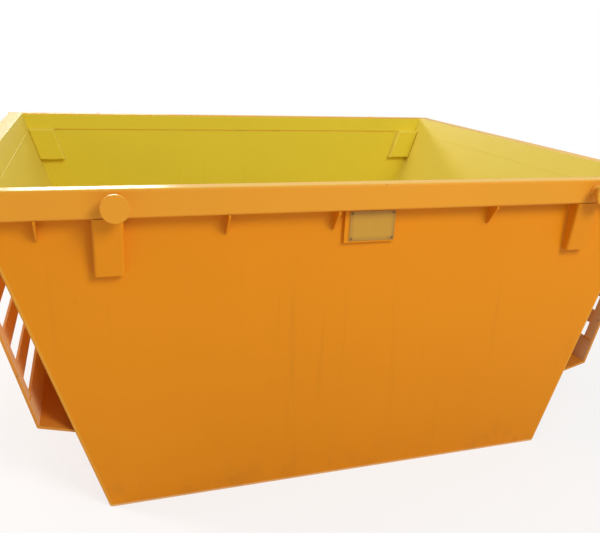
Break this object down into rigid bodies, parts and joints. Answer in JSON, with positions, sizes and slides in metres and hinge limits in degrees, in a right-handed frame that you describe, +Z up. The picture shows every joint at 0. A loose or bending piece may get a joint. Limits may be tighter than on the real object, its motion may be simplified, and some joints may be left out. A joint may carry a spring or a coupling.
{
  "type": "open skip bin",
  "caption": "Open skip bin of sheet steel with sloping ends, a box tube rim, round lifting lugs on tapered brackets and a slatted tipping rack on each end.",
  "frame": {"origin": "on the ground, under the middle of the rim", "axes": "+X along the rim's long sides towards the right-hand end, +Y from the front side with the plate to the rear side, +Z up"},
  "size_m": [2.3, 1.96, 1.02],
  "materials": {
    "orange_paint": "semi-gloss orange-yellow paint, lightly worn",
    "rack_paint": "the same paint, scuffed and dusty",
    "plate_face": "satin pale yellow plate",
    "rivet_metal": "dull aluminium"
  },
  "bodies": {
    "root": {"data_plate": "plate_face", "floor_plate": "orange_paint", "front_left_corner_block": "orange_paint", "front_left_lug_bracket": "orange_paint", "front_left_lug_head": "orange_paint", "front_left_lug_pin": "orange_paint", "front_right_corner_block": "orange_paint", "front_right_lug_bracket": "orange_paint", "front_right_lug_head": "orange_paint", "front_right_lug_pin": "orange_paint", "front_rim_caps": "orange_paint", "front_rim_gussets": "orange_paint", "front_rim_rail": "orange_paint", "front_runner": "orange_paint", "front_side_panel": "orange_paint", "left_end_panel": "orange_paint", "left_rack_front_stringer": "rack_paint", "left_rack_head_bar": "rack_paint", "left_rack_rear_stringer": "rack_paint", "left_rack_shelf": "rack_paint", "left_rack_slat_1": "rack_paint", "left_rack_slat_2": "rack_paint", "left_rack_slat_3": "rack_paint", "left_rack_slat_4": "rack_paint", "left_rack_web": "rack_paint", "left_rim_rail": "orange_paint", "middle_runner": "orange_paint", "plate_holder": "orange_paint", "plate_rivets": "rivet_metal", "rear_left_corner_block": "orange_paint", "rear_left_lug_bracket": "orange_paint", "rear_left_lug_head": "orange_paint", "rear_left_lug_pin": "orange_paint", "rear_right_corner_block": "orange_paint", "rear_right_lug_bracket": "orange_paint", "rear_right_lug_head": "orange_paint", "rear_right_lug_pin": "orange_paint", "rear_rim_caps": "orange_paint", "rear_rim_gussets": "orange_paint", "rear_rim_rail": "orange_paint", "rear_runner": "orange_paint", "rear_side_panel": "orange_paint", "right_end_panel": "orange_paint", "right_rack_front_stringer": "rack_paint", "right_rack_head_bar": "rack_paint", "right_rack_rear_stringer": "rack_paint", "right_rack_shelf": "rack_paint", "right_rack_slat_1": "rack_paint", "right_rack_slat_2": "rack_paint", "right_rack_slat_3": "rack_paint", "right_rack_slat_4": "rack_paint", "right_rack_web": "rack_paint", "right_rim_rail": "orange_paint"}
  },
  "joints": []
}
